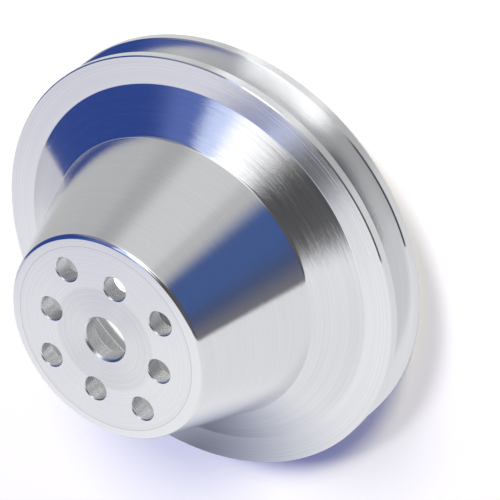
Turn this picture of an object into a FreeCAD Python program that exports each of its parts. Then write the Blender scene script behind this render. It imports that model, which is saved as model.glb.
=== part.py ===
import FreeCAD, Part
import math
import os
import Sketcher

# One-piece deep-offset V-belt pulley, turned from one billet of aluminium.
# +Z is the pulley's axis, from the flat back of the rim (z = 0) up to the hub's mounting face.
# The origin is the centre of the back face.  Every size is in millimetres.

SIZES = {
    # overall
    "overall_height": 72.5,
    "rim_diameter": 158.75,
    # rim and its single belt groove
    "rim_width": 18.6,
    "groove_width": 11.18,
    "groove_angle": 36.0,
    "groove_depth": 12.7,
    "groove_floor": 4.0,
    "groove_corner_radius": 0.8,
    "rim_edge_chamfer": 0.4,
    "ring_face_width": 10.3,
    # dish between the rim and the barrel
    "dish_width": 15.2,
    "dish_height": 9.3,
    "dish_wall": 6.0,
    # barrel and hub
    "barrel_wall": 4.6,
    "hub_plate": 6.35,
    "hub_margin": 7.15,
    "face_bevel_width": 3.4,
    "face_bevel_drop": 0.25,
    "hub_edge_radius": 2.0,
    "neck_radius": 2.0,
    "cavity_radius": 3.0,
    # bore and bolt holes
    "bore_diameter": 15.875,
    "bore_chamfer": 0.7,
    "bolt_hole_diameter": 8.73,
    "bolt_hole_chamfer": 0.35,
    "inner_bolt_circle": 44.45,
    "outer_bolt_circle": 53.975,
    "bolts_per_circle": 4,
    # the groove's cutter starts this far outside the rim
    "cut_overshoot": 1.0,
}

# Lengths that follow from the driving sizes, written for the sheet's expressions.
RIM_RADIUS = "Sizes.rim_diameter / 2"
RING_INNER_RADIUS = f"({RIM_RADIUS} - Sizes.ring_face_width)"
BARREL_END_RADIUS = f"({RING_INNER_RADIUS} - Sizes.dish_width)"
BARREL_END_HEIGHT = "(Sizes.rim_width + Sizes.dish_height)"
GROOVE_FLOOR_RADIUS = f"({RIM_RADIUS} - Sizes.groove_depth)"
RIM_BORE_RADIUS = f"({GROOVE_FLOOR_RADIUS} - Sizes.groove_floor)"
PLATE_BACK_HEIGHT = "(Sizes.overall_height - Sizes.hub_plate)"
SHOULDER_HEIGHT = "(Sizes.overall_height - Sizes.face_bevel_drop)"
HUB_RADIUS = "(Sizes.outer_bolt_circle / 2 + Sizes.bolt_hole_diameter / 2 + Sizes.hub_margin)"
FACE_FLAT_RADIUS = f"({HUB_RADIUS} - Sizes.face_bevel_width)"
GROOVE_MIDDLE = "Sizes.rim_width / 2"
GROOVE_SLOPE = "tan(Sizes.groove_angle / 2)"
GROOVE_FLOOR_WIDTH = f"(Sizes.groove_width - 2 * Sizes.groove_depth * {GROOVE_SLOPE})"

SECTION_CORNERS = 12
CORNER_LIMIT = 0.4  # a groove corner's radius is at most this share of the groove's floor
MATCH = 1e-4  # edges are found by radius and height to this many millimetres
SMALLEST_CUT = 1.0  # cubic millimetres


def make_sheet(doc):
    """Put every driving size in its own cell, with its name as the cell's alias."""
    sheet = doc.addObject("Spreadsheet::Sheet", "Sizes")
    for row, (name, value) in enumerate(SIZES.items(), start=1):
        sheet.set(f"A{row}", name)
        sheet.set(f"B{row}", str(value))
        sheet.setAlias(f"B{row}", name)
    doc.recompute()


def origin_item(body, role):
    """Find one of the body's own origin planes or axes by its role."""
    return next(item for item in body.Origin.OriginFeatures if item.Role == role)


def new_sketch(body, name, role):
    """Start a sketch on one of the body's own origin planes."""
    sketch = body.newObject("Sketcher::SketchObject", name)
    sketch.AttachmentSupport = [(origin_item(body, role), "")]
    sketch.MapMode = "FlatFace"
    return sketch


def bind(sketch, constraint, name, expression):
    """Add a named dimension to the sketch and tie it to the sheet."""
    index = sketch.addConstraint(constraint)
    sketch.renameConstraint(index, name)
    sketch.setExpression(f"Constraints.{name}", expression)


def add_outline(sketch, corners):
    """Draw a closed outline of straight lines through the corners (x, y)."""
    count = len(corners)
    for i, (x, y) in enumerate(corners):
        next_x, next_y = corners[(i + 1) % count]
        start = FreeCAD.Vector(x, y, 0)
        end = FreeCAD.Vector(next_x, next_y, 0)
        sketch.addGeometry(Part.LineSegment(start, end), False)
    for i in range(count):
        sketch.addConstraint(Sketcher.Constraint("Coincident", i, 2, (i + 1) % count, 1))


def place_corner(sketch, line, name, x_expression=None, y_expression=None):
    """Give the first point of a line its distance from the axis and its height."""
    point = sketch.getPoint(line, 1)
    if x_expression == "0":
        sketch.addConstraint(Sketcher.Constraint("PointOnObject", line, 1, -2))
    elif x_expression:
        constraint = Sketcher.Constraint("DistanceX", -1, 1, line, 1, point.x)
        bind(sketch, constraint, f"{name}_radius", x_expression)
    if y_expression == "0":
        sketch.addConstraint(Sketcher.Constraint("PointOnObject", line, 1, -1))
    elif y_expression:
        constraint = Sketcher.Constraint("DistanceY", -1, 1, line, 1, point.y)
        bind(sketch, constraint, f"{name}_height", y_expression)


def starting_outline():
    """Work out where the turned section's corners lie, as the sketch's starting point."""
    rim = SIZES["rim_diameter"] / 2
    ring = rim - SIZES["ring_face_width"]
    neck = ring - SIZES["dish_width"]
    neck_height = SIZES["rim_width"] + SIZES["dish_height"]
    top = SIZES["overall_height"]
    hub = (SIZES["outer_bolt_circle"] + SIZES["bolt_hole_diameter"]) / 2 + SIZES["hub_margin"]
    shoulder = top - SIZES["face_bevel_drop"]
    plate = top - SIZES["hub_plate"]
    rim_bore = rim - SIZES["groove_depth"] - SIZES["groove_floor"]
    barrel_slope = (neck - hub) / (shoulder - neck_height)
    dish_slope = SIZES["dish_height"] / SIZES["dish_width"]
    barrel_inset = SIZES["barrel_wall"] * math.hypot(1, barrel_slope)
    dish_inset = SIZES["dish_wall"] * math.hypot(1, dish_slope)
    plate_edge = hub + barrel_slope * (shoulder - plate) - barrel_inset
    # the barrel's and the dish's inner faces meet where both lines have the same radius
    inner_neck_height = neck_height - (dish_inset - dish_slope * barrel_inset) / (
        1 + dish_slope * barrel_slope
    )
    inner_neck = plate_edge + barrel_slope * (plate - inner_neck_height)
    dish_foot = inner_neck_height - dish_slope * (rim_bore - inner_neck)
    return [
        (0, top),
        (hub - SIZES["face_bevel_width"], top),
        (hub, shoulder),
        (neck, neck_height),
        (ring, SIZES["rim_width"]),
        (rim, SIZES["rim_width"]),
        (rim, 0),
        (rim_bore, 0),
        (rim_bore, dish_foot),
        (inner_neck, inner_neck_height),
        (plate_edge, plate),
        (0, plate),
    ]


def draw_section(body):
    """Draw half of the turned section: hub plate, barrel, dish and rim in one outline."""
    sketch = new_sketch(body, "turned_section", "XZ_Plane")
    add_outline(sketch, starting_outline())
    (face, bevel, barrel, dish, ring, rim, back, rim_bore,
     dish_inside, barrel_inside, plate_back, axis) = range(SECTION_CORNERS)
    place_corner(sketch, face, "face_centre", "0", "Sizes.overall_height")
    place_corner(sketch, bevel, "face_flat", FACE_FLAT_RADIUS, "Sizes.overall_height")
    place_corner(sketch, barrel, "hub_edge", HUB_RADIUS, SHOULDER_HEIGHT)
    place_corner(sketch, dish, "neck", BARREL_END_RADIUS, BARREL_END_HEIGHT)
    place_corner(sketch, ring, "ring_inner", RING_INNER_RADIUS, "Sizes.rim_width")
    place_corner(sketch, rim, "ring_outer", RIM_RADIUS, "Sizes.rim_width")
    place_corner(sketch, back, "back_outer", RIM_RADIUS, "0")
    place_corner(sketch, rim_bore, "back_inner", RIM_BORE_RADIUS, "0")
    place_corner(sketch, dish_inside, "dish_foot", RIM_BORE_RADIUS)
    place_corner(sketch, plate_back, "plate_edge", None, PLATE_BACK_HEIGHT)
    place_corner(sketch, axis, "plate_centre", "0", PLATE_BACK_HEIGHT)
    # the inner faces run parallel to the outer ones, one wall away
    sketch.addConstraint(Sketcher.Constraint("Parallel", barrel_inside, barrel))
    sketch.addConstraint(Sketcher.Constraint("Parallel", dish_inside, dish))
    wall = Sketcher.Constraint("Distance", plate_back, 1, barrel, SIZES["barrel_wall"])
    bind(sketch, wall, "barrel_wall", "Sizes.barrel_wall")
    wall = Sketcher.Constraint("Distance", barrel_inside, 1, dish, SIZES["dish_wall"])
    bind(sketch, wall, "dish_wall", "Sizes.dish_wall")
    return sketch


def turn_blank(doc, body):
    """Turn the section about the pulley's axis."""
    sketch = draw_section(body)
    blank = body.newObject("PartDesign::Revolution", "blank")
    blank.Profile = sketch
    blank.ReferenceAxis = (sketch, ["V_Axis"])
    blank.Angle = 360
    doc.recompute()


def cut_groove(doc, body):
    """Turn the V groove for the belt, with its flanks meeting the rim at the groove's width."""
    before = body.Shape.Volume
    sketch = new_sketch(body, "groove_section", "XZ_Plane")
    slope = math.tan(math.radians(SIZES["groove_angle"] / 2))
    middle = SIZES["rim_width"] / 2
    rim = SIZES["rim_diameter"] / 2
    mouth = rim + SIZES["cut_overshoot"]
    floor = rim - SIZES["groove_depth"]
    half_mouth = SIZES["groove_width"] / 2 + SIZES["cut_overshoot"] * slope
    half_floor = SIZES["groove_width"] / 2 - SIZES["groove_depth"] * slope
    add_outline(sketch, [
        (floor, middle - half_floor),
        (floor, middle + half_floor),
        (mouth, middle + half_mouth),
        (mouth, middle - half_mouth),
    ])
    floor_half = f"{GROOVE_FLOOR_WIDTH} / 2"
    mouth_half = f"(Sizes.groove_width / 2 + Sizes.cut_overshoot * {GROOVE_SLOPE})"
    mouth_radius = f"{RIM_RADIUS} + Sizes.cut_overshoot"
    place_corner(sketch, 0, "floor_back", GROOVE_FLOOR_RADIUS, f"{GROOVE_MIDDLE} - {floor_half}")
    place_corner(sketch, 1, "floor_front", GROOVE_FLOOR_RADIUS, f"{GROOVE_MIDDLE} + {floor_half}")
    place_corner(sketch, 2, "mouth_front", mouth_radius, f"{GROOVE_MIDDLE} + {mouth_half}")
    place_corner(sketch, 3, "mouth_back", mouth_radius, f"{GROOVE_MIDDLE} - {mouth_half}")
    groove = body.newObject("PartDesign::Groove", "belt_groove")
    groove.Profile = sketch
    groove.ReferenceAxis = (sketch, ["V_Axis"])
    groove.Angle = 360
    doc.recompute()
    check_cut(before, body, "belt groove")


def draw_hole(body, name, diameter, circle, angle):
    """Draw a hole's circle on the hub's face, on the axis or out on a bolt circle."""
    sketch = new_sketch(body, f"{name}_centre", "XY_Plane")
    sketch.setExpression("AttachmentOffset.Base.z", "Sizes.overall_height")
    size = SIZES[diameter]
    reach = SIZES[circle] / 2 if circle else 0.0
    centre = FreeCAD.Vector(reach * math.cos(angle), reach * math.sin(angle), 0)
    sketch.addGeometry(Part.Circle(centre, FreeCAD.Vector(0, 0, 1), size / 2), False)
    bind(sketch, Sketcher.Constraint("Diameter", 0, size), "size", f"Sizes.{diameter}")
    if not circle:
        sketch.addConstraint(Sketcher.Constraint("Coincident", 0, 3, -1, 1))
        return sketch
    spoke = sketch.addGeometry(Part.LineSegment(FreeCAD.Vector(0, 0, 0), centre), True)
    sketch.addConstraint(Sketcher.Constraint("Coincident", spoke, 1, -1, 1))
    sketch.addConstraint(Sketcher.Constraint("Coincident", spoke, 2, 0, 3))
    bind(sketch, Sketcher.Constraint("Distance", spoke, reach), "reach", f"Sizes.{circle} / 2")
    if angle:
        sketch.addConstraint(Sketcher.Constraint("Angle", -1, 1, spoke, 1, angle))
    else:
        sketch.addConstraint(Sketcher.Constraint("PointOnObject", 0, 3, -1))
    return sketch


def drill(doc, body, name, diameter, circle=None, angle=0.0):
    """Drill a hole through the hub plate and, on a bolt circle, repeat it all round."""
    before = body.Shape.Volume
    sketch = draw_hole(body, name, diameter, circle, angle)
    doc.recompute()
    hole = body.newObject("PartDesign::Hole", name)
    hole.Profile = sketch
    hole.ThreadType = "None"
    hole.DepthType = "ThroughAll"
    hole.setExpression("Diameter", f"Sizes.{diameter}")
    doc.recompute()
    if circle:
        add_bolt_circle(doc, body, hole)
    check_cut(before, body, name)


def add_bolt_circle(doc, body, hole):
    """Repeat a bolt hole evenly about the pulley's axis."""
    circle = body.newObject("PartDesign::PolarPattern", f"{hole.Name}_circle")
    circle.Originals = [hole]
    circle.Axis = (origin_item(body, "Z_Axis"), [""])
    circle.Angle = 360
    circle.setExpression("Occurrences", "Sizes.bolts_per_circle")
    body.Tip = circle
    doc.recompute()


def round_edges(shape, radius, height=None, centred=True):
    """Name the shape's circular edges of this radius, on the axis or off it."""
    names = []
    for i, edge in enumerate(shape.Edges, start=1):
        curve = edge.Curve
        if not isinstance(curve, Part.Circle):
            continue
        on_axis = math.hypot(curve.Center.x, curve.Center.y) < MATCH
        same_radius = abs(curve.Radius - radius) < MATCH
        same_height = height is None or abs(curve.Center.z - height) < MATCH
        if on_axis == centred and same_radius and same_height:
            names.append(f"Edge{i}")
    return names


def dress_edges(doc, body, kind, name, edges, size):
    """Fillet or chamfer the named edges of the body's last feature."""
    if not edges:
        raise RuntimeError(f"{name} found no edges")
    base = body.Tip
    feature = body.newObject(f"PartDesign::{kind}", name)
    feature.Base = (base, edges)
    feature.setExpression("Radius" if kind == "Fillet" else "Size", size)
    doc.recompute()


def edge_at(body, radius, height):
    """Find the one circular edge about the axis with this radius and height."""
    edges = round_edges(body.Shape, radius, height)
    if len(edges) != 1:
        raise RuntimeError(f"{len(edges)} edges at radius {radius:.3f}, height {height:.3f}")
    return edges


def round_corners(doc, body):
    """Round the hub's edge, the neck and the corners of the hollow inside."""
    section = body.Document.getObject("turned_section")
    corner = [section.getPoint(line, 1) for line in range(SECTION_CORNERS)]
    hub_edge, neck = corner[2], corner[3]
    dish_foot, inner_neck, plate_edge = corner[8], corner[9], corner[10]
    dress_edges(doc, body, "Fillet", "hub_edge_round",
                edge_at(body, hub_edge.x, hub_edge.y), "Sizes.hub_edge_radius")
    outer_neck = edge_at(body, neck.x, neck.y)
    dress_edges(doc, body, "Fillet", "neck_round", outer_neck, "Sizes.neck_radius")
    hollow = []
    for point in (dish_foot, inner_neck, plate_edge):
        hollow += edge_at(body, point.x, point.y)
    dress_edges(doc, body, "Fillet", "hollow_rounds", hollow, "Sizes.cavity_radius")


def break_rim_edges(doc, body):
    """Break the groove's bottom corners and every sharp edge of the rim."""
    rim = SIZES["rim_diameter"] / 2
    floor = rim - SIZES["groove_depth"]
    corner_radius = f"min(Sizes.groove_corner_radius; {CORNER_LIMIT} * {GROOVE_FLOOR_WIDTH})"
    dress_edges(doc, body, "Fillet", "groove_corners",
                round_edges(body.Shape, floor), corner_radius)
    lips = round_edges(body.Shape, rim)
    back = edge_at(body, floor - SIZES["groove_floor"], 0.0)
    dress_edges(doc, body, "Chamfer", "rim_edges", lips + back, "Sizes.rim_edge_chamfer")


def break_hole_edges(doc, body):
    """Chamfer both ends of the bore and of every bolt hole."""
    bore = round_edges(body.Shape, SIZES["bore_diameter"] / 2)
    dress_edges(doc, body, "Chamfer", "bore_chamfers", bore, "Sizes.bore_chamfer")
    bolts = round_edges(body.Shape, SIZES["bolt_hole_diameter"] / 2, centred=False)
    dress_edges(doc, body, "Chamfer", "bolt_hole_chamfers", bolts, "Sizes.bolt_hole_chamfer")


def check_cut(before, body, name):
    """Stop if a cut has taken nothing away."""
    if body.Shape.Volume > before - SMALLEST_CUT:
        raise RuntimeError(f"{name} cut nothing")


def make_pulley(doc):
    """Make the pulley: turn it, groove it, drill it and break its edges."""
    body = doc.addObject("PartDesign::Body", "pulley")
    body.Label = "pulley"
    body.Placement = FreeCAD.Placement()
    turn_blank(doc, body)
    round_corners(doc, body)
    cut_groove(doc, body)
    break_rim_edges(doc, body)
    drill(doc, body, "bore", "bore_diameter")
    drill(doc, body, "outer_bolt_hole", "bolt_hole_diameter", "outer_bolt_circle")
    quarter = 2 * math.pi / SIZES["bolts_per_circle"]
    drill(doc, body, "inner_bolt_hole", "bolt_hole_diameter", "inner_bolt_circle", quarter / 2)
    break_hole_edges(doc, body)
    return body


def check_document(doc, parts):
    """Stop if any feature has failed or any part is not one sound solid."""
    for item in doc.Objects:
        if "Invalid" in item.State or "Error" in item.State:
            raise RuntimeError(f"{item.Name} failed: {item.State}")
    for part in parts:
        shape = part.Shape
        if shape.isNull() or not shape.isValid() or len(shape.Solids) != 1:
            raise RuntimeError(f"{part.Label} is not one valid solid")


def write_parts(parts):
    """Write each part's solid to a file of its own."""
    os.makedirs("parts", exist_ok=True)
    for part in parts:
        part.Shape.exportStep(f"parts/{part.Label}.step")
        box = part.Shape.optimalBoundingBox(False)
        print(f"{part.Label}: {part.Shape.Volume:.0f} mm3, "
              f"{box.XLength:.2f} x {box.YLength:.2f} x {box.ZLength:.2f} mm")


def main():
    doc = FreeCAD.newDocument("pulley")
    make_sheet(doc)
    parts = [make_pulley(doc)]
    doc.recompute()
    check_document(doc, parts)
    write_parts(parts)


main()
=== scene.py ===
import math

import bmesh
import bpy
from mathutils import Matrix, Vector


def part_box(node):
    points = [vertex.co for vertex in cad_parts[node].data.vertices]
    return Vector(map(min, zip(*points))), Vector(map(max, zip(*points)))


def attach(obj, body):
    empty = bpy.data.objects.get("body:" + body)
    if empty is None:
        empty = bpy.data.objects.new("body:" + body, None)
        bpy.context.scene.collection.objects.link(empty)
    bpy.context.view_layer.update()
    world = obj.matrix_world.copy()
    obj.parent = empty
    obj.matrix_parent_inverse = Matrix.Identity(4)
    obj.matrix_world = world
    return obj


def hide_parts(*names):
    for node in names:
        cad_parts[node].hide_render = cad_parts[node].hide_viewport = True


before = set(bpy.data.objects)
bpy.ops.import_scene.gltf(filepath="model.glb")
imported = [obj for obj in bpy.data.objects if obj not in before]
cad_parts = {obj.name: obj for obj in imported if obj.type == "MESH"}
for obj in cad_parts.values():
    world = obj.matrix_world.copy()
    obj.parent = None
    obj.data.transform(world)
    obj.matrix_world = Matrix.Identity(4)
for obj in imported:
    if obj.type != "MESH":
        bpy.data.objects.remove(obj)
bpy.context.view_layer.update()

# A one-piece deep-offset V-belt pulley, turned from aluminium.  Metres, +Z up the pulley's axis,
# with the flat back of the rim on the floor at z = 0.

MM = 0.001
TOP_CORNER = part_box("pulley")[1]
HEIGHT = TOP_CORNER.z
RIM = TOP_CORNER.x

# rim and belt groove
RIM_WIDTH = 18.6 * MM
GROOVE_WIDTH = 11.18 * MM
GROOVE_ANGLE = 36
GROOVE_SLOPE = math.tan(math.radians(GROOVE_ANGLE / 2))
GROOVE_DEPTH = 12.7 * MM
GROOVE_FLOOR = 4.0 * MM
GROOVE_CORNER = 0.8 * MM
RIM_CHAMFER = 0.4 * MM
RING_FACE = 10.3 * MM
# dish, barrel and hub plate
DISH_WIDTH = 15.2 * MM
DISH_HEIGHT = 9.3 * MM
DISH_WALL = 6.0 * MM
BARREL_WALL = 4.6 * MM
HUB_PLATE = 6.35 * MM
HUB_MARGIN = 7.15 * MM
BEVEL_WIDTH = 3.4 * MM
BEVEL_DROP = 0.25 * MM
HUB_ROUND = 2.0 * MM
NECK_ROUND = 2.0 * MM
RING_ROUND = 0.8 * MM
HOLLOW_ROUND = 3.0 * MM
# bore and bolt holes, as radii
BORE = 15.875 / 2 * MM
BORE_CHAMFER = 0.7 * MM
BOLT_HOLE = 8.73 / 2 * MM
BOLT_CHAMFER = 0.35 * MM
INNER_CIRCLE = 44.45 / 2 * MM
OUTER_CIRCLE = 53.975 / 2 * MM
BOLTS_ROUND = 4
HUB = OUTER_CIRCLE + BOLT_HOLE + HUB_MARGIN
FACE_EDGE = HUB - BEVEL_WIDTH

# steps round the pulley, round a hole and round a corner
TURNS = 512
HOLE_TURNS = 96
ROUND_STEPS = 8


def link_object(name, mesh):
    """Put a mesh in the scene as an object."""
    made = bpy.data.objects.new(name, mesh)
    bpy.context.scene.collection.objects.link(made)
    return made


# ---------------------------------------------------------------- the turned section

def section():
    """The turned outline, from the hub face's flat down the outside and up the hollow.

    Each corner is (radius, height, corner size, "round" or "flat", zone of the line after it).
    """
    ring = RIM - RING_FACE
    neck = ring - DISH_WIDTH
    neck_height = RIM_WIDTH + DISH_HEIGHT
    shoulder = HEIGHT - BEVEL_DROP
    plate = HEIGHT - HUB_PLATE
    middle = RIM_WIDTH / 2
    mouth = GROOVE_WIDTH / 2
    floor_radius = RIM - GROOVE_DEPTH
    floor_half = mouth - GROOVE_DEPTH * GROOVE_SLOPE
    rim_bore = floor_radius - GROOVE_FLOOR
    barrel_slope = (neck - HUB) / (shoulder - neck_height)
    dish_slope = DISH_HEIGHT / DISH_WIDTH
    barrel_inset = BARREL_WALL * math.hypot(1, barrel_slope)
    dish_inset = DISH_WALL * math.hypot(1, dish_slope)
    plate_edge = HUB + barrel_slope * (shoulder - plate) - barrel_inset
    drop = (dish_inset - dish_slope * barrel_inset) / (1 + dish_slope * barrel_slope)
    inner_height = neck_height - drop
    inner_neck = plate_edge + barrel_slope * (plate - inner_height)
    foot = inner_height - dish_slope * (rim_bore - inner_neck)
    return [
        (FACE_EDGE, HEIGHT, 0, "flat", "bevel"),
        (HUB, shoulder, HUB_ROUND, "round", "barrel"),
        (neck, neck_height, NECK_ROUND, "round", "dish"),
        (ring, RIM_WIDTH, RING_ROUND, "round", "ring"),
        (RIM, RIM_WIDTH, RIM_CHAMFER, "flat", "land"),
        (RIM, middle + mouth, RIM_CHAMFER, "flat", "groove"),
        (floor_radius, middle + floor_half, GROOVE_CORNER, "round", "groove"),
        (floor_radius, middle - floor_half, GROOVE_CORNER, "round", "groove"),
        (RIM, middle - mouth, RIM_CHAMFER, "flat", "land"),
        (RIM, 0, RIM_CHAMFER, "flat", "back"),
        (rim_bore, 0, RIM_CHAMFER, "flat", "rim_bore"),
        (rim_bore, foot, HOLLOW_ROUND, "round", "hollow"),
        (inner_neck, inner_height, HOLLOW_ROUND, "round", "hollow"),
        (plate_edge, plate, HOLLOW_ROUND, "round", "seat"),
        (0, plate, 0, "flat", "seat"),
    ]


def cut_corner(before, corner, after, size, kind):
    """Turn one sharp corner into the points of its round or of its flat."""
    point = Vector(corner)
    to_before = (Vector(before) - point).normalized()
    to_after = (Vector(after) - point).normalized()
    half = to_before.angle(to_after) / 2
    if kind == "flat":
        return [point + to_before * size, point + to_after * size]
    reach = size / math.tan(half)
    centre = point + (to_before + to_after).normalized() * (size / math.sin(half))
    start = point + to_before * reach - centre
    end = point + to_after * reach - centre
    sweep = start.angle_signed(end)
    points = []
    for step in range(ROUND_STEPS + 1):
        turn = -sweep * step / ROUND_STEPS
        points.append(centre + Matrix.Rotation(turn, 2) @ start)
    return points


# the finish of a round, by the zone of the line after it
ROUND_ZONES = {"barrel": "edge", "dish": "neck", "ring": "neck", "groove": "groove",
               "hollow": "hollow", "seat": "hollow"}


def profile():
    """The section's points: radius, height, the zone after it, and if it is a crisp edge.

    The section's last corner is on the axis.  It only gives the seat's direction, because the seat
    is filled as a flat.
    """
    corners = section()
    points = []
    for i, (radius, height, size, kind, zone) in enumerate(corners[:-1]):
        here = (radius, height)
        if i == 0 or not size:
            points.append((radius, height, zone, True))
            continue
        before = corners[i - 1][:2]
        cut = cut_corner(before, here, corners[i + 1][:2], size, kind)
        middle_zone = "edge" if kind == "flat" else ROUND_ZONES[zone]
        for point in cut[:-1]:
            points.append((point.x, point.y, middle_zone, kind == "flat"))
        points.append((cut[-1].x, cut[-1].y, zone, kind == "flat"))
    return points


ZONES = ["face", "bevel", "edge", "barrel", "neck", "dish", "ring", "land", "groove",
         "back", "rim_bore", "hollow", "seat", "hole"]


def ring_of(bm, centre, radius, height, count):
    """Add a level ring of vertices."""
    ring = []
    for i in range(count):
        angle = 2 * math.pi * i / count
        x = centre.x + radius * math.cos(angle)
        y = centre.y + radius * math.sin(angle)
        ring.append(bm.verts.new((x, y, height)))
    return ring


def skin(bm, upper, lower, zone, outward=True):
    """Join two rings of equal count with a band of quads."""
    count = len(upper)
    for i in range(count):
        j = (i + 1) % count
        quad = [upper[i], lower[i], lower[j], upper[j]]
        face = bm.faces.new(quad if outward else quad[::-1])
        face.material_index = ZONES.index(zone)
        face.smooth = True


def ring_edges(ring):
    """List the edges round a ring."""
    edges = []
    for here, after in zip(ring, ring[1:] + ring[:1]):
        edges.append(next(edge for edge in here.link_edges if edge.other_vert(here) is after))
    return edges


def mark_crisp(ring):
    """Keep the edges round a ring sharp in the shading."""
    for edge in ring_edges(ring):
        edge.smooth = False


def hole_places():
    """The bore and both bolt circles, the inner turned by half a step: (centre, radius, chamfer)."""
    places = [(Vector((0, 0)), BORE, BORE_CHAMFER)]
    for k in range(BOLTS_ROUND):
        for circle, offset in ((OUTER_CIRCLE, 0), (INNER_CIRCLE, 0.5)):
            angle = (k + offset) * 2 * math.pi / BOLTS_ROUND
            centre = Vector((math.cos(angle), math.sin(angle))) * circle
            places.append((centre, BOLT_HOLE, BOLT_CHAMFER))
    return places


def add_hole(bm, centre, radius, chamfer):
    """Add one hole's wall and chamfers, and return its rims on the face and on the seat."""
    plate = HEIGHT - HUB_PLATE
    levels = [
        (radius + chamfer, HEIGHT),
        (radius, HEIGHT - chamfer),
        (radius, plate + chamfer),
        (radius + chamfer, plate),
    ]
    rings = [ring_of(bm, centre, r, z, HOLE_TURNS) for r, z in levels]
    for upper, lower in zip(rings, rings[1:]):
        skin(bm, upper, lower, "hole", outward=False)
    for ring in rings:
        mark_crisp(ring)
    return rings[0], rings[-1]


def fill_flat(bm, rings, zone, upward):
    """Fill the flat between an outer ring and the holes inside it."""
    edges = []
    for ring in rings:
        edges += ring_edges(ring)
    made = bmesh.ops.triangle_fill(bm, use_beauty=True, use_dissolve=False, edges=edges)
    for item in made["geom"]:
        if not isinstance(item, bmesh.types.BMFace):
            continue
        if (item.normal.z > 0) != upward:
            item.normal_flip()
        item.material_index = ZONES.index(zone)
        item.smooth = True


def make_pulley():
    """Build the pulley's mesh: the turned skin, the holes and the two flats that they pierce."""
    bm = bmesh.new()
    points = profile()
    axis = Vector((0, 0))
    rings = [ring_of(bm, axis, r, z, TURNS) for r, z, _zone, _crisp in points]
    for (_r, _z, zone, _crisp), upper, lower in zip(points, rings, rings[1:]):
        skin(bm, upper, lower, zone)
    for (_r, _z, _zone, crisp), ring in zip(points, rings):
        if crisp:
            mark_crisp(ring)
    mouths, seats = [rings[0]], [rings[-1]]
    for centre, radius, chamfer in hole_places():
        mouth, seat = add_hole(bm, centre, radius, chamfer)
        mouths.append(mouth)
        seats.append(seat)
    bm.normal_update()
    fill_flat(bm, mouths, "face", upward=True)
    fill_flat(bm, seats, "seat", upward=False)
    bm.normal_update()
    mesh = bpy.data.meshes.new("turned_pulley")
    bm.to_mesh(mesh)
    bm.free()
    return link_object("turned_pulley", mesh)


# ---------------------------------------------------------------- materials

def node(tree, kind, **settings):
    """Add a node and set its properties."""
    made = tree.nodes.new(kind)
    for name, value in settings.items():
        setattr(made, name, value)
    return made


def feed(tree, socket, value):
    """Link an output to a socket, or set the socket to a constant."""
    if isinstance(value, bpy.types.NodeSocket):
        tree.links.new(value, socket)
    else:
        socket.default_value = value


def math_of(tree, operation, *values):
    """Do sums with nodes."""
    made = node(tree, "ShaderNodeMath", operation=operation)
    for socket, value in zip(made.inputs, values):
        feed(tree, socket, value)
    return made.outputs[0]


def dot(tree, vector, direction):
    """The part of a vector along a fixed direction."""
    made = node(tree, "ShaderNodeVectorMath", operation="DOT_PRODUCT")
    feed(tree, made.inputs[0], vector)
    made.inputs[1].default_value = direction
    return made.outputs["Value"]


def remap(tree, value, low, high, to_low=0.0, to_high=1.0, smooth=False):
    """Carry a value from one range to another."""
    made = node(tree, "ShaderNodeMapRange")
    if smooth:
        made.interpolation_type = "SMOOTHSTEP"
    feed(tree, made.inputs["Value"], value)
    made.inputs["From Min"].default_value = low
    made.inputs["From Max"].default_value = high
    feed(tree, made.inputs["To Min"], to_low)
    feed(tree, made.inputs["To Max"], to_high)
    return made.outputs["Result"]


def window(tree, value, low, high, soft):
    """1 between two values, fading to 0 outside them."""
    rise = remap(tree, value, low - soft, low + soft, smooth=True)
    fall = remap(tree, value, high - soft, high + soft, 1.0, 0.0, smooth=True)
    return math_of(tree, "MULTIPLY", rise, fall)


def grey(value):
    """A neutral colour."""
    return (value, value, value, 1.0)


def mix_colour(tree, factor, first, second):
    """Blend two colours."""
    made = node(tree, "ShaderNodeMix", data_type="RGBA")
    feed(tree, made.inputs["Factor"], factor)
    feed(tree, made.inputs["A"], first)
    feed(tree, made.inputs["B"], second)
    return made.outputs["Result"]


def noise(tree, vector, scale, detail, roughness):
    """A noise pattern, from 0 to 1."""
    made = node(tree, "ShaderNodeTexNoise", noise_dimensions="3D")
    feed(tree, made.inputs["Vector"], vector)
    made.inputs["Scale"].default_value = scale
    made.inputs["Detail"].default_value = detail
    made.inputs["Roughness"].default_value = roughness
    return made.outputs["Fac"]


def lathe_coordinates(tree):
    """Radius and height in millimetres, and the angle about the axis in radians."""
    place = node(tree, "ShaderNodeNewGeometry").outputs["Position"]
    split = node(tree, "ShaderNodeSeparateXYZ")
    feed(tree, split.inputs[0], place)
    x, y, z = split.outputs
    radius = math_of(tree, "SQRT", math_of(tree, "ADD", math_of(tree, "MULTIPLY", x, x),
                                           math_of(tree, "MULTIPLY", y, y)))
    angle = math_of(tree, "ARCTAN2", y, x)
    return (math_of(tree, "MULTIPLY", radius, 1000.0), math_of(tree, "MULTIPLY", z, 1000.0), angle)


def combine(tree, x, y, z):
    """Make a vector from three values."""
    made = node(tree, "ShaderNodeCombineXYZ")
    for socket, value in zip(made.inputs, (x, y, z)):
        feed(tree, socket, value)
    return made.outputs[0]


ALUMINIUM = (0.86, 0.865, 0.875)


def start_metal(name):
    """Make a plain aluminium material, and return it with its tree and its shader."""
    material = bpy.data.materials.new(name)
    material.use_nodes = True
    tree = material.node_tree
    tree.nodes.clear()
    shader = node(tree, "ShaderNodeBsdfPrincipled")
    out = node(tree, "ShaderNodeOutputMaterial")
    tree.links.new(shader.outputs[0], out.inputs["Surface"])
    shader.inputs["Metallic"].default_value = 1.0
    return material, tree, shader


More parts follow.
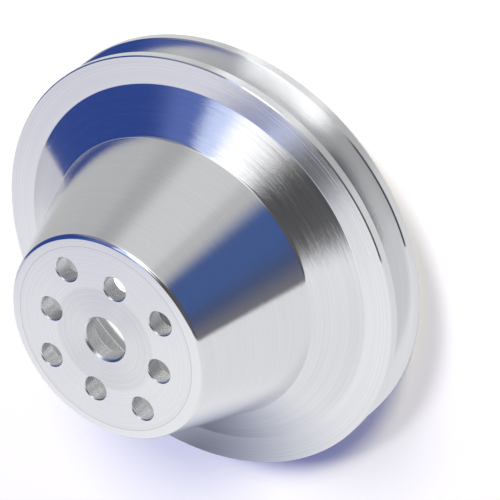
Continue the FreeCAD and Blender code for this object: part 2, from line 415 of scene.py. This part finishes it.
def tool_rings(tree, radius, height):
    """Fine rings all round the axis, as a value from 0 to 1."""
    return noise(tree, combine(tree, radius, height, 0.0), 4.6, 2.0, 0.7)


def part_way_marks(tree, radius, height, angle):
    """Faint marks that run part of the way round, without a seam, as a value from 0 to 1."""
    stretched = math_of(tree, "MULTIPLY", math_of(tree, "ADD", radius, height), 2.2)
    place = combine(tree, math_of(tree, "SINE", angle), math_of(tree, "COSINE", angle), stretched)
    return noise(tree, place, 1.6, 3.0, 0.6)


def dull_disc(tree, radius, disc, shade, rough):
    """Dull the disc round the bore, and scribe a fine dark line just inside the face's edge."""
    inside = remap(tree, radius, disc - 0.4, disc + 0.4, 1.0, 0.0, smooth=True)
    shade = math_of(tree, "MULTIPLY", shade, remap(tree, inside, 0.0, 1.0, 1.0, 0.93))
    rough = math_of(tree, "ADD", rough, math_of(tree, "MULTIPLY", inside, 0.03))
    edge = FACE_EDGE / MM
    scribed = window(tree, radius, edge - 0.35, edge - 0.05, 0.1)
    shade = math_of(tree, "MULTIPLY", shade, remap(tree, scribed, 0.0, 1.0, 1.0, 0.78))
    return shade, rough


def add_bump(tree, shader, depth, pattern):
    """Raise the surface by a pattern, to a depth in millimetres."""
    bump = node(tree, "ShaderNodeBump")
    bump.inputs["Strength"].default_value = 1.0
    bump.inputs["Distance"].default_value = depth * MM
    feed(tree, bump.inputs["Height"], pattern)
    feed(tree, shader.inputs["Normal"], bump.outputs[0])


def turned_metal(name, roughness, anisotropy, ring_depth, tone_depth, disc=0.0, painted_shade_scale=1.0):
    """Turned aluminium: tool rings round the axis, with the light stretched across them.

    ring_depth is in millimetres, tone_depth is how much darker the darkest ring is, and disc is
    the radius in millimetres of a duller disc round the bore, where another tool faced the hub.
    A face with a disc has a fine dark tool line round its outer edge too.  The last argument scales
    the metal's colour down, as painted shade for the surfaces inside the pulley that lie in shade.
    """
    material, tree, shader = start_metal(name)
    radius, height, angle = lathe_coordinates(tree)
    rings = tool_rings(tree, radius, height)
    marks = part_way_marks(tree, radius, height, angle)
    tone = math_of(tree, "ADD", math_of(tree, "MULTIPLY", rings, 0.7),
                   math_of(tree, "MULTIPLY", marks, 0.3))
    # painted shade: the last argument scales the colour down for surfaces inside the pulley
    shade = remap(tree, tone, 0.38, 0.62, painted_shade_scale * (1.0 - tone_depth), painted_shade_scale)
    rough = remap(tree, marks, 0.3, 0.7, roughness * 0.92, roughness * 1.08)
    if disc:
        shade, rough = dull_disc(tree, radius, disc, shade, rough)
    feed(tree, shader.inputs["Base Color"],
         mix_colour(tree, shade, grey(0.0), ALUMINIUM + (1.0,)))
    feed(tree, shader.inputs["Roughness"], rough)
    shader.inputs["Anisotropic"].default_value = anisotropy
    shader.inputs["Anisotropic Rotation"].default_value = 0.25
    tangent = node(tree, "ShaderNodeTangent", direction_type="RADIAL", axis="Z")
    feed(tree, shader.inputs["Tangent"], tangent.outputs[0])
    if ring_depth:
        add_bump(tree, shader, ring_depth, rings)
    return material


def drilled_metal(name, roughness, painted_shade_scale):
    """The wall of a drilled or bored hole: torn spots, with no stretched light."""
    material, tree, shader = start_metal(name)
    radius, height, angle = lathe_coordinates(tree)
    round_it = math_of(tree, "MULTIPLY", angle, 9.0)
    up_it = math_of(tree, "MULTIPLY", height, 4.0)
    torn = noise(tree, combine(tree, round_it, radius, up_it), 1.3, 4.0, 0.7)
    bright = tuple(channel * painted_shade_scale for channel in ALUMINIUM) + (1.0,)
    dull = tuple(channel * painted_shade_scale * 0.80 for channel in ALUMINIUM) + (1.0,)
    feed(tree, shader.inputs["Base Color"],
         mix_colour(tree, remap(tree, torn, 0.35, 0.6), dull, bright))
    feed(tree, shader.inputs["Roughness"],
         remap(tree, torn, 0.3, 0.7, roughness * 0.8, roughness * 1.2))
    add_bump(tree, shader, 0.03, torn)
    return material


def finish_zones(piece):
    """Give each zone of the pulley the finish that its tool left, with painted shade in the hollow,
    the rim's bore and the seat.

    After its name, a turned finish has its roughness, how far its light is stretched, how deep
    its rings are in millimetres, and how much darker its darkest ring is.
    """
    finishes = {
        "face": turned_metal("face_turned", 0.22, 0.9, 0.020, 0.09, disc=19.5),
        "bevel": turned_metal("bevel_turned", 0.16, 0.9, 0.010, 0.04),
        "edge": turned_metal("edge_broken", 0.08, 0.0, 0.0, 0.02),
        "barrel": turned_metal("barrel_satin", 0.11, 0.97, 0.014, 0.06),
        "neck": turned_metal("neck_round", 0.10, 0.6, 0.0, 0.02),
        "dish": turned_metal("dish_turned", 0.14, 0.97, 0.032, 0.09),
        "ring": turned_metal("ring_turned", 0.11, 0.97, 0.026, 0.07),
        "land": turned_metal("land_turned", 0.18, 0.9, 0.012, 0.05),
        "groove": turned_metal("groove_turned", 0.12, 0.9, 0.012, 0.05),
        "back": turned_metal("back_turned", 0.24, 0.97, 0.020, 0.06),
        # painted shade: the rim's bore, the hollow and the seat are coloured darker, as the shade
        # inside the pulley
        "rim_bore": turned_metal("rim_bore_turned", 0.08, 0.3, 0.0, 0.03, painted_shade_scale=0.64),
        "hollow": turned_metal("hollow_turned", 0.26, 0.9, 0.030, 0.12, painted_shade_scale=0.60),
        "seat": turned_metal("seat_turned", 0.28, 0.9, 0.020, 0.10, painted_shade_scale=0.80),
        "hole": drilled_metal("hole_drilled", 0.26, 1.0),
    }
    for zone in ZONES:
        piece.data.materials.append(finishes[zone])


# ---------------------------------------------------------------- camera

LENS = 193.4
SENSOR = 36.0
CAMERA_AZIMUTH = math.radians(-73.083)
CAMERA_ELEVATION = math.radians(45.057)
CAMERA_ROLL = math.radians(130.072)
CAMERA_DISTANCE = 946.1 * MM
AIM = Vector((-6.93, -5.91, -3.63)) * MM


def camera_axes():
    """The camera's right, up and backward directions."""
    back = Vector((
        math.cos(CAMERA_ELEVATION) * math.cos(CAMERA_AZIMUTH),
        math.cos(CAMERA_ELEVATION) * math.sin(CAMERA_AZIMUTH),
        math.sin(CAMERA_ELEVATION),
    ))
    level_right = Vector((0, 0, 1)).cross(back).normalized()
    level_up = back.cross(level_right)
    up = level_up * math.cos(CAMERA_ROLL) + level_right * math.sin(CAMERA_ROLL)
    right = up.cross(back)
    return right, up, back


def add_camera():
    """Look at the pulley along the measured line of sight."""
    right, up, back = camera_axes()
    data = bpy.data.cameras.new("camera")
    data.lens = LENS
    data.sensor_width = SENSOR
    data.clip_start = 0.01
    data.clip_end = 50.0
    camera = bpy.data.objects.new("camera", data)
    bpy.context.scene.collection.objects.link(camera)
    turn = Matrix((right, up, back)).transposed().to_4x4()
    camera.matrix_world = Matrix.Translation(AIM + back * CAMERA_DISTANCE) @ turn
    bpy.context.scene.camera = camera


# ---------------------------------------------------------------- studio

# The studio is set up as if the pulley stood on its rim on a white table, and the camera looked
# down on it by this much.
LOOK_DOWN = math.radians(32.7)


def studio_axes():
    """The studio's own up, right and away directions, in the pulley's frame."""
    right, up, back = camera_axes()
    studio_up = up * math.cos(LOOK_DOWN) + back * math.sin(LOOK_DOWN)
    studio_away = up * math.sin(LOOK_DOWN) - back * math.cos(LOOK_DOWN)
    return studio_up, right, studio_away


# the even light that the floor gets from all round, and what the metal mirrors between the cards
SKY = (0.19, 0.21, 0.48, 1.0)
ROOM = grey(0.54)
# What stands round the table, as the metal sees it: azimuth from and to, elevation from and to,
# softness of each, colour.  Degrees; azimuth 0 is beyond the pulley, 90 to the right of it.
# Each card covers those before it.
CARDS = [
    ((-200, 200), (68, 95), 0.1, 4, grey(0.68)),
    ((-45, -15), (50, 70), 10, 8, grey(0.45)),
    ((-24, 12), (-20, 30), 6, 6, grey(0.75)),
    ((66, 96), (-95, 22), 5, 6, grey(0.82)),
    ((48, 68), (-95, 34), 5, 4, grey(0.49)),
    ((8, 48), (24, 38), 6, 2.5, grey(1.85)),
    ((-200, -104), (46, 80), 5, 5, grey(1.15)),
    ((166, 200), (50, 80), 5, 5, grey(1.15)),
    ((-126, -48), (-95, 62), 3, 8, (0.24, 0.25, 0.34, 1.0)),
    ((-126, -48), (-95, 36), 3, 9, (0.030, 0.066, 0.285, 1.0)),
    ((-126, -107), (-95, 36), 5, 8, (0.11, 0.17, 0.50, 1.0)),
    ((-138, -122.5), (-95, 60), 1.5, 8, (0.70, 0.80, 1.12, 1.0)),
    ((-130, -106), (-95, 8), 3, 8, (0.070, 0.105, 0.330, 1.0)),
    ((-200, -140), (-95, 38), 4, 6, grey(0.085)),
    ((-156, -134), (17, 74), 2, 4, grey(1.45)),
    ((140, 200), (-95, 44), 6, 6, grey(0.11)),
    ((124, 150), (-95, 50), 5, 5, (0.085, 0.085, 0.120, 1.0)),
    ((96, 130), (-95, 53), 5, 8, (0.061, 0.116, 0.315, 1.0)),
    ((96, 130), (-95, 18), 5, 12, (0.068, 0.092, 0.185, 1.0)),
    ((96, 135), (-95, 5), 5, 11, (0.190, 0.185, 0.205, 1.0)),
]


def add_world():
    """Even light for the floor, and a soft studio of cards for the metal to mirror."""
    world = bpy.data.worlds.new("studio")
    bpy.context.scene.world = world
    world.use_nodes = True
    tree = world.node_tree
    tree.nodes.clear()
    up, right, away = studio_axes()
    ray = node(tree, "ShaderNodeTexCoord").outputs["Generated"]
    elevation = math_of(tree, "DEGREES", math_of(tree, "ARCSINE", dot(tree, ray, up)))
    turn = math_of(tree, "ARCTAN2", dot(tree, ray, right), dot(tree, ray, away))
    azimuth = math_of(tree, "DEGREES", turn)
    room = ROOM
    for azimuths, elevations, soft_azimuth, soft_elevation, colour in CARDS:
        inside = math_of(tree, "MULTIPLY", window(tree, azimuth, *azimuths, soft_azimuth),
                         window(tree, elevation, *elevations, soft_elevation))
        room = mix_colour(tree, inside, room, colour)
    mirror = node(tree, "ShaderNodeBackground")
    feed(tree, mirror.inputs["Color"], room)
    plain = node(tree, "ShaderNodeBackground")
    plain.inputs["Color"].default_value = SKY
    choose = node(tree, "ShaderNodeMixShader")
    feed(tree, choose.inputs[0], node(tree, "ShaderNodeLightPath").outputs["Is Glossy Ray"])
    feed(tree, choose.inputs[1], plain.outputs[0])
    feed(tree, choose.inputs[2], mirror.outputs[0])
    out = node(tree, "ShaderNodeOutputWorld")
    feed(tree, out.inputs["Surface"], choose.outputs[0])


def only_for_metal(piece):
    """Let nothing but reflections see a piece of staging."""
    piece.visible_camera = False
    piece.visible_diffuse = False
    piece.visible_transmission = False
    piece.visible_volume_scatter = False
    piece.visible_shadow = False


def glow(name, colour_in):
    """A material that only glows; colour_in makes its colour in the tree that it is given."""
    material = bpy.data.materials.new(name)
    material.use_nodes = True
    tree = material.node_tree
    tree.nodes.clear()
    emission = node(tree, "ShaderNodeEmission")
    emission.inputs["Strength"].default_value = 1.0
    feed(tree, emission.inputs["Color"], colour_in(tree))
    out = node(tree, "ShaderNodeOutputMaterial")
    feed(tree, out.inputs["Surface"], emission.outputs[0])
    return material


# the mirrored table's corners: to the right of the pulley and away from the camera, in metres
TABLE = [(-0.70, -0.40), (-0.05, -1.15), (1.0, -1.15), (1.0, 1.0), (0.16, 1.0)]
TABLE_GAP = 0.1 * MM
CONTACT_SHADOW = 60 * MM
SHADOW_START = -6 * MM


def contact_shadow(tree, place, up):
    """The table's share of its light, by the distance from the line where the rim touches it.

    That line runs along the pulley's axis, and is as long as the rim is wide.
    """
    height = dot(tree, place, (0, 0, 1))
    middle = math_of(tree, "ABSOLUTE", math_of(tree, "SUBTRACT", height, RIM_WIDTH / 2))
    along = math_of(tree, "MAXIMUM", math_of(tree, "SUBTRACT", middle, RIM_WIDTH / 2), 0.0)
    beside = dot(tree, place, Vector((0, 0, 1)).cross(up))
    distance = math_of(tree, "SQRT", math_of(tree, "ADD", math_of(tree, "MULTIPLY", along, along),
                                             math_of(tree, "MULTIPLY", beside, beside)))
    return remap(tree, distance, SHADOW_START, CONTACT_SHADOW, 0.24, 1.0, smooth=True)


def table_light(tree):
    """The table's light: less to either side and beyond to the left, and dark round the rim's foot."""
    up, right, away = studio_axes()
    place = node(tree, "ShaderNodeNewGeometry").outputs["Position"]
    across = dot(tree, place, right)
    far_left = math_of(tree, "SUBTRACT", dot(tree, place, away), across)
    left = remap(tree, across, -0.30, -0.10, 0.77, 0.93, smooth=True)
    to_right = remap(tree, across, -0.04, 0.08, 1.0, 0.87, smooth=True)
    beyond = remap(tree, far_left, 0.20, 0.32, 1.0, 0.80, smooth=True)
    plain = math_of(tree, "MULTIPLY", math_of(tree, "MULTIPLY", left, to_right), beyond)
    lit = contact_shadow(tree, place, up)
    open_tint = mix_colour(tree, remap(tree, across, -0.30, -0.12),
                           (0.98, 0.98, 1.09, 1.0), (1.0, 1.0, 1.03, 1.0))
    tint = mix_colour(tree, lit, (0.85, 0.92, 1.30, 1.0), open_tint)
    return mix_colour(tree, math_of(tree, "MULTIPLY", plain, lit), grey(0.0), tint)


def add_table():
    """The white table that the metal mirrors: it touches the rim, and only reflections see it."""
    up, right, away = studio_axes()
    mesh = bpy.data.meshes.new("mirrored_table")
    level = -(RIM + TABLE_GAP)
    points = [right * x + away * y + up * level for x, y in TABLE]
    mesh.from_pydata(points, [], [range(len(points))])
    mesh.materials.append(glow("mirrored_table", table_light))
    table = link_object("mirrored_table", mesh)
    only_for_metal(table)


LAMP_DISTANCE = 3.0


def add_lamp(name, azimuth, elevation, size, watts, colour):
    """A square soft lamp that is aimed at the middle of the floor, and that metal doesn't mirror.

    Its azimuth and elevation are in degrees, in the pulley's own frame, and its size is in metres.
    """
    data = bpy.data.lights.new(name, "AREA")
    data.size = size
    data.energy = watts
    data.color = colour
    lamp = bpy.data.objects.new(name, data)
    bpy.context.scene.collection.objects.link(lamp)
    azimuth, elevation = math.radians(azimuth), math.radians(elevation)
    level = Vector((math.cos(azimuth), math.sin(azimuth), 0))
    direction = level * math.cos(elevation) + Vector((0, 0, math.sin(elevation)))
    turn = direction.to_track_quat("Z", "Y").to_matrix().to_4x4()
    lamp.matrix_world = Matrix.Translation(direction * LAMP_DISTANCE) @ turn
    lamp.visible_glossy = False
    lamp.visible_camera = False


FLOOR_RADIUS = 4.0
FLOOR_GAP = 0.02 * MM


def add_floor():
    """A plain pale floor just under the pulley's flat back."""
    bm = bmesh.new()
    bm.faces.new(ring_of(bm, Vector((0, 0)), FLOOR_RADIUS, -FLOOR_GAP, 128))
    mesh = bpy.data.meshes.new("floor")
    bm.to_mesh(mesh)
    bm.free()
    floor = link_object("floor", mesh)
    material = bpy.data.materials.new("floor_pale")
    material.use_nodes = True
    shader = material.node_tree.nodes["Principled BSDF"]
    shader.inputs["Base Color"].default_value = (0.9, 0.9, 0.9, 1.0)
    shader.inputs["Roughness"].default_value = 0.9
    shader.inputs["Specular IOR Level"].default_value = 0.0
    floor.data.materials.append(material)
    floor.visible_glossy = False


# the glowing strip at the open back: its ends in degrees round the axis, and its edges' radii
STRIP_ENDS = (88, 118)
STRIP_STEP = 2
STRIP_EDGES = (52 * MM, 62 * MM)


def add_light_below():
    """Light that comes in at one side of the open back, as from bright paper behind the pulley."""
    bm = bmesh.new()
    sides = []
    for degrees in range(STRIP_ENDS[0], STRIP_ENDS[1] + 1, STRIP_STEP):
        angle = math.radians(degrees)
        level = Vector((math.cos(angle), math.sin(angle), 0))
        sides.append([bm.verts.new(level * radius) for radius in STRIP_EDGES])
    for (inner, outer), (next_inner, next_outer) in zip(sides, sides[1:]):
        bm.faces.new((inner, outer, next_outer, next_inner))
    mesh = bpy.data.meshes.new("light_below")
    bm.to_mesh(mesh)
    bm.free()
    strip = link_object("light_below", mesh)
    strip.data.materials.append(glow("light_below", lambda tree: grey(1.90)))
    strip.visible_diffuse = False
    strip.visible_shadow = False


pulley = make_pulley()
finish_zones(pulley)
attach(pulley, "root")
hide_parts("pulley")

add_camera()
add_world()
add_table()
add_lamp("key", 10, 52, 1.0, 56, (1.0, 0.99, 0.98))
add_lamp("fill", -52, 41, 0.8, 70, (1.0, 0.93, 0.60))
add_floor()
add_light_below()
bpy.context.scene.view_settings.view_transform = "Standard"
